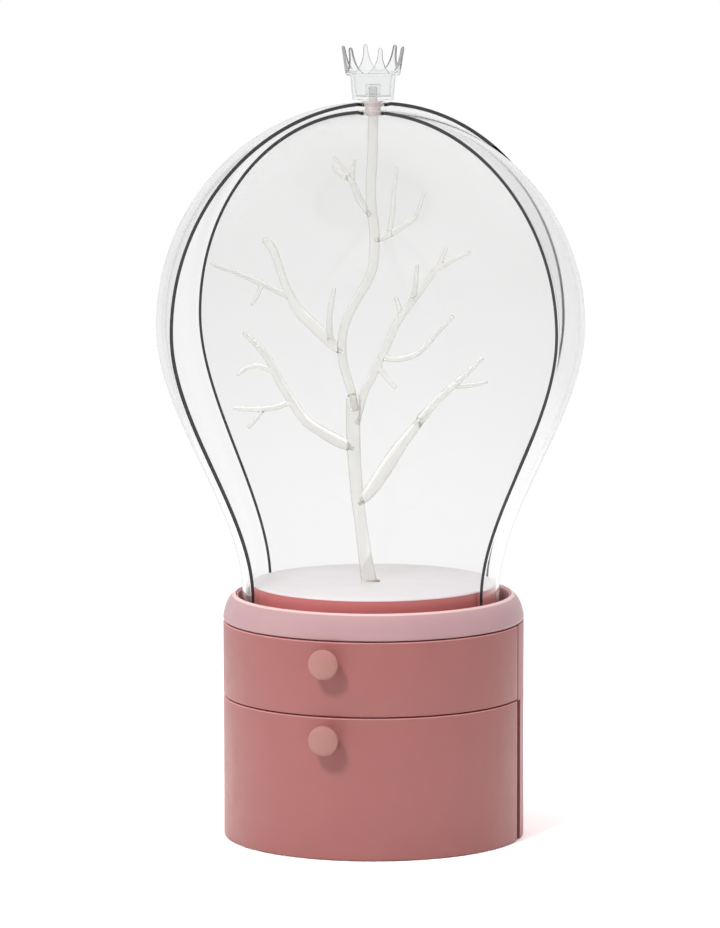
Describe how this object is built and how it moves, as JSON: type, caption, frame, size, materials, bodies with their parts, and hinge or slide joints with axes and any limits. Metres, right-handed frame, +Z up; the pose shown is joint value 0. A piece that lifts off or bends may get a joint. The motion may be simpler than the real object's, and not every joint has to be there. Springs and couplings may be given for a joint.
{
  "type": "rotating jewelry box",
  "caption": "Round two-drawer jewelry box with a turntable, a branching clear stand, two nested clear half domes that turn open, and a crown on top.",
  "frame": {"origin": "centre of the underside, where the drum's axis meets the surface that the box stands on", "axes": "+Z up along the drum's axis, -Y the way the drawers open, +X to the right seen from the drawers' side"},
  "size_m": [0.2272, 0.2083, 0.4208],
  "materials": {
    "pad": "matt",
    "drum": "satin",
    "drawer": "satin",
    "collar": "satin",
    "platform": "satin",
    "knob": "semi-gloss",
    "bushing": "satin",
    "bearing": "satin",
    "steel": "satin",
    "stand": "clear, slightly milky",
    "crown": "clear",
    "dome": "clear, polished"
  },
  "bodies": {
    "base": {"base_pad": "pad", "base_plate": "drum", "base_screw_1": "steel", "base_screw_2": "steel", "base_screw_3": "steel", "rear_housing": "drum", "top_cover": "collar", "cover_screw_1": "steel", "cover_screw_2": "steel", "cover_screw_3": "steel", "platform_bearing_ring": "bearing"},
    "turntable": {"turntable_platform": "platform", "spindle_washer": "steel", "spindle_screw": "steel", "lower_trunk": "stand", "upper_trunk": "stand", "lower_left_branch": "stand", "upper_left_branch": "stand", "lower_right_branch": "stand", "upper_right_branch": "stand", "top_left_branch": "stand", "top_right_branch": "stand", "dome_bushing": "bushing", "crown": "crown"},
    "outer_shell": {"outer_dome_shell": "dome"},
    "inner_shell": {"inner_dome_shell": "dome"},
    "lower_tray": {"lower_drawer": "drawer", "lower_knob": "knob", "lower_knob_screw": "steel"},
    "upper_tray": {"upper_drawer": "drawer", "upper_knob": "knob", "upper_knob_screw": "steel"}
  },
  "joints": [
    {"name": "turntable_turn", "type": "hinge", "parent": "base", "child": "turntable", "pos_m": [0, 0, 0.12], "axis": [0, 0, 1], "continuous": true},
    {"name": "outer_shell_turn", "type": "hinge", "parent": "base", "child": "outer_shell", "pos_m": [0, 0, 0.118], "axis": [0, 0, 1], "continuous": true},
    {"name": "inner_shell_turn", "type": "hinge", "parent": "base", "child": "inner_shell", "pos_m": [0, 0, 0.118], "axis": [0, 0, 1], "continuous": true},
    {"name": "lower_drawer_slide", "type": "slide", "parent": "base", "child": "lower_tray", "axis": [0, -1, 0], "range_m": [0, 0.09]},
    {"name": "upper_drawer_slide", "type": "slide", "parent": "base", "child": "upper_tray", "axis": [0, -1, 0], "range_m": [0, 0.09]}
  ]
}
